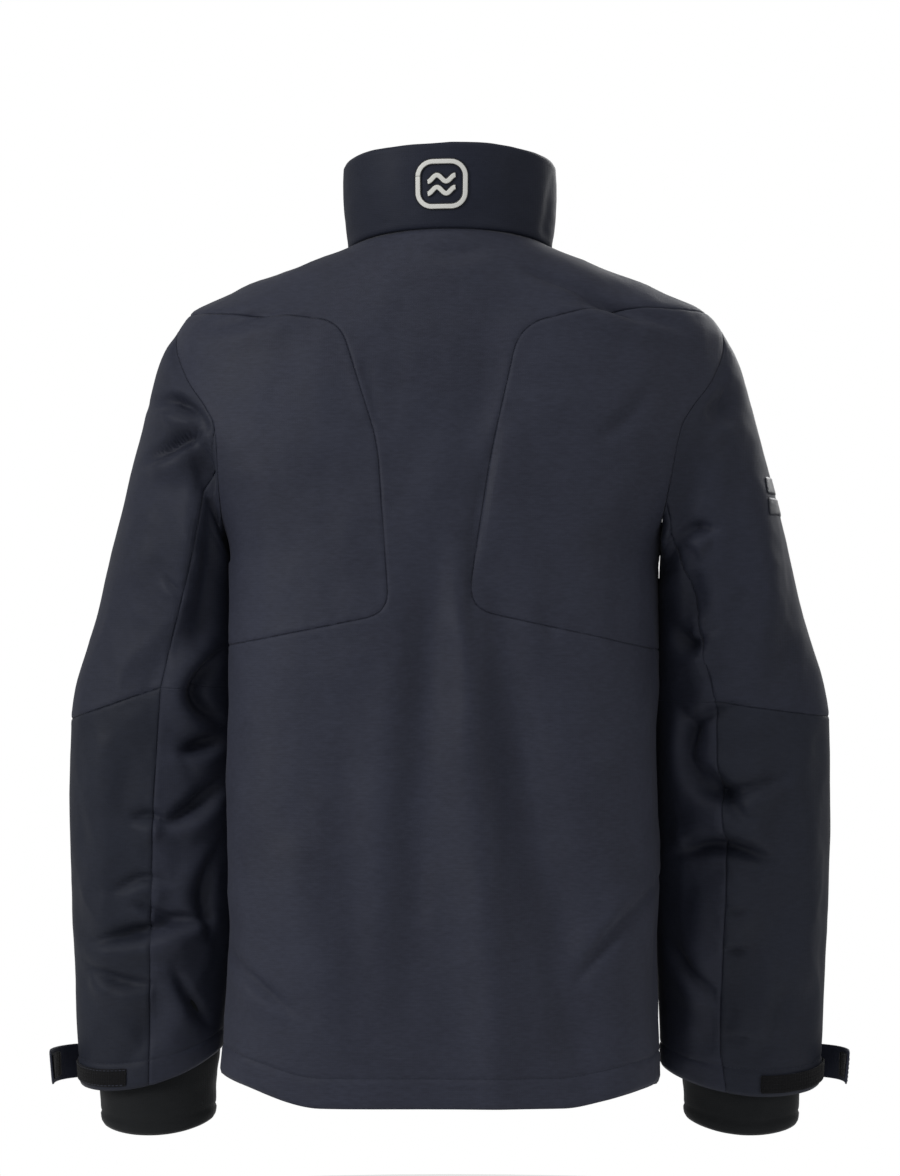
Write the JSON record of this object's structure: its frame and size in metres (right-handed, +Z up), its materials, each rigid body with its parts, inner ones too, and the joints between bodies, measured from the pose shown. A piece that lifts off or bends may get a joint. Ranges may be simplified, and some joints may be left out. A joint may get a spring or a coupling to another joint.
{
  "type": "foul weather jacket",
  "caption": "Hip-length sailing jacket of dark navy laminate with a standing collar, front zip, shaped sleeves and soft inner cuffs.",
  "frame": {"origin": "centre of the neck opening, level with the collar seam at the centre of the back", "axes": "+Z up; the wearer faces -Y; +X is the wearer's left"},
  "size_m": [0.685, 0.259, 0.839],
  "materials": {
    "shell": "matt navy woven laminate",
    "sleeve_shell": "matt dark navy woven laminate",
    "lining": "matt knitted mesh lining",
    "fleece": "brushed fleece",
    "zip_tape": "woven polyester tape",
    "zip_teeth": "moulded teeth",
    "pocket_zip": "coated tape with moulded teeth",
    "slider": "black coated casting",
    "zip_pull": "moulded grip",
    "inner_cuff": "soft matt stretch seal",
    "hook_and_loop": "ribbed black hook and loop",
    "webbing": "woven tape",
    "badge": "light grey reflective transfer",
    "raised_print": "raised tone-on-tone print"
  },
  "bodies": {
    "torso": {"back_main": "shell", "back_upper_left": "shell", "back_upper_right": "shell", "side_panel_left": "shell", "side_panel_right": "shell", "shoulder_yoke_left": "shell", "shoulder_yoke_right": "shell", "front_side_left": "shell", "front_side_right": "shell", "collar_back": "shell", "collar_lining_back": "lining", "collar_badge": "badge", "hand_zip_left": "pocket_zip", "hand_zip_right": "pocket_zip", "hand_pocket_bag_left": "lining", "hand_pocket_bag_right": "lining", "chest_zip": "pocket_zip", "chest_pocket_bag": "lining"},
    "front_left": {"front_centre_left": "shell", "collar_front_left": "shell", "collar_lining_front_left": "lining", "zip_tape_left": "zip_tape", "zip_teeth_left": "zip_teeth", "zip_pin": "zip_teeth", "chin_guard": "fleece"},
    "front_right": {"front_centre_right": "shell", "collar_front_right": "shell", "collar_lining_front_right": "lining", "zip_tape_right": "zip_tape", "zip_teeth_right": "zip_teeth", "zip_box": "zip_teeth", "inner_placket": "lining"},
    "main_slider": {"zip_slider": "slider"},
    "main_pull": {"zip_pull": "zip_pull"},
    "chest_slider": {"chest_slider": "slider"},
    "chest_pull": {"chest_pull": "zip_pull"},
    "hanger_loop": {"hanger_loop": "webbing"},
    "upper_arm_left": {"upper_sleeve_outer_left": "sleeve_shell", "upper_sleeve_under_left": "sleeve_shell", "inner_elbow_left": "sleeve_shell"},
    "forearm_left": {"forearm_outer_left": "sleeve_shell", "forearm_under_left": "sleeve_shell", "inner_cuff_left": "inner_cuff", "loop_strip_left": "hook_and_loop"},
    "cuff_tab_left": {"cuff_tab_left": "shell", "hook_patch_left": "hook_and_loop"},
    "hand_slider_left": {"hand_slider_left": "slider"},
    "hand_pull_left": {"hand_pull_left": "zip_pull"},
    "upper_arm_right": {"upper_sleeve_outer_right": "sleeve_shell", "upper_sleeve_under_right": "sleeve_shell", "inner_elbow_right": "sleeve_shell", "sleeve_badge": "raised_print"},
    "forearm_right": {"forearm_outer_right": "sleeve_shell", "forearm_under_right": "sleeve_shell", "inner_cuff_right": "inner_cuff", "loop_strip_right": "hook_and_loop"},
    "cuff_tab_right": {"cuff_tab_right": "shell", "hook_patch_right": "hook_and_loop"},
    "hand_slider_right": {"hand_slider_right": "slider"},
    "hand_pull_right": {"hand_pull_right": "zip_pull"}
  },
  "joints": [
    {"name": "front_left_swing", "type": "hinge", "parent": "torso", "child": "front_left", "pos_m": [0.05807, -0.08174, -0.072], "axis": [-0.0558, 0.0664, 0.9962], "range_deg": [0, 100], "deforming": ["zip_teeth_left", "zip_tape_left", "inner_placket"]},
    {"name": "front_right_swing", "type": "hinge", "parent": "torso", "child": "front_right", "pos_m": [-0.05807, -0.08174, -0.072], "axis": [-0.0558, -0.0664, -0.9962], "range_deg": [0, 100], "deforming": ["zip_teeth_right", "zip_tape_right", "inner_placket"]},
    {"name": "main_zip_slide", "type": "slide", "parent": "front_right", "child": "main_slider", "axis": [0, -0.0809, -0.9967], "range_m": [0, 0.735], "deforming": ["zip_teeth_left", "zip_teeth_right"]},
    {"name": "main_pull_swing", "type": "hinge", "parent": "main_slider", "child": "main_pull", "pos_m": [0, -0.07562, 0.03125], "axis": [-1, 0, 0], "range_deg": [0, 170]},
    {"name": "shoulder_left_raise", "type": "hinge", "parent": "torso", "child": "upper_arm_left", "pos_m": [0.228, 0, -0.066], "axis": [0, -1, 0], "range_deg": [0, 75]},
    {"name": "elbow_left_bend", "type": "hinge", "parent": "upper_arm_left", "child": "forearm_left", "pos_m": [0.252, -0.043, -0.419], "axis": [-1, 0, 0], "range_deg": [0, 90], "deforming": ["inner_elbow_left"]},
    {"name": "cuff_tab_left_swing", "type": "hinge", "parent": "forearm_left", "child": "cuff_tab_left", "pos_m": [0.318, -0.058, -0.707], "axis": [0, 0, 1], "range_deg": [-90, 36]},
    {"name": "hand_zip_left_slide", "type": "slide", "parent": "torso", "child": "hand_slider_left", "axis": [0, -0.0689, -0.9976], "range_m": [0, 0.134], "deforming": ["hand_zip_left"]},
    {"name": "hand_pull_left_swing", "type": "hinge", "parent": "hand_slider_left", "child": "hand_pull_left", "pos_m": [0.1313, -0.08972, -0.44047], "axis": [-0.8539, -0.5192, 0.0359], "range_deg": [0, 170]},
    {"name": "shoulder_right_raise", "type": "hinge", "parent": "torso", "child": "upper_arm_right", "pos_m": [-0.228, 0, -0.066], "axis": [0, 1, 0], "range_deg": [0, 75]},
    {"name": "elbow_right_bend", "type": "hinge", "parent": "upper_arm_right", "child": "forearm_right", "pos_m": [-0.252, -0.043, -0.419], "axis": [-1, 0, 0], "range_deg": [0, 90], "deforming": ["inner_elbow_right"]},
    {"name": "cuff_tab_right_swing", "type": "hinge", "parent": "forearm_right", "child": "cuff_tab_right", "pos_m": [-0.318, -0.058, -0.707], "axis": [0, 0, -1], "range_deg": [-90, 36]},
    {"name": "hand_zip_right_slide", "type": "slide", "parent": "torso", "child": "hand_slider_right", "axis": [0, -0.0689, -0.9976], "range_m": [0, 0.134], "deforming": ["hand_zip_right"]},
    {"name": "hand_pull_right_swing", "type": "hinge", "parent": "hand_slider_right", "child": "hand_pull_right", "pos_m": [-0.1313, -0.08972, -0.44047], "axis": [-0.8539, 0.5192, -0.0359], "range_deg": [0, 170]},
    {"name": "chest_zip_slide", "type": "slide", "parent": "torso", "child": "chest_slider", "axis": [0, -0.0318, -0.9995], "range_m": [0, 0.086], "deforming": ["chest_zip"]},
    {"name": "chest_pull_swing", "type": "hinge", "parent": "chest_slider", "child": "chest_pull", "pos_m": [0.10544, -0.08622, -0.16656], "axis": [-0.9845, -0.1751, 0.0056], "range_deg": [0, 170]},
    {"name": "hanger_loop_swing", "type": "hinge", "parent": "torso", "child": "hanger_loop", "pos_m": [0, 0.0714, -0.004], "axis": [-1, 0, 0], "range_deg": [0, 160]}
  ]
}
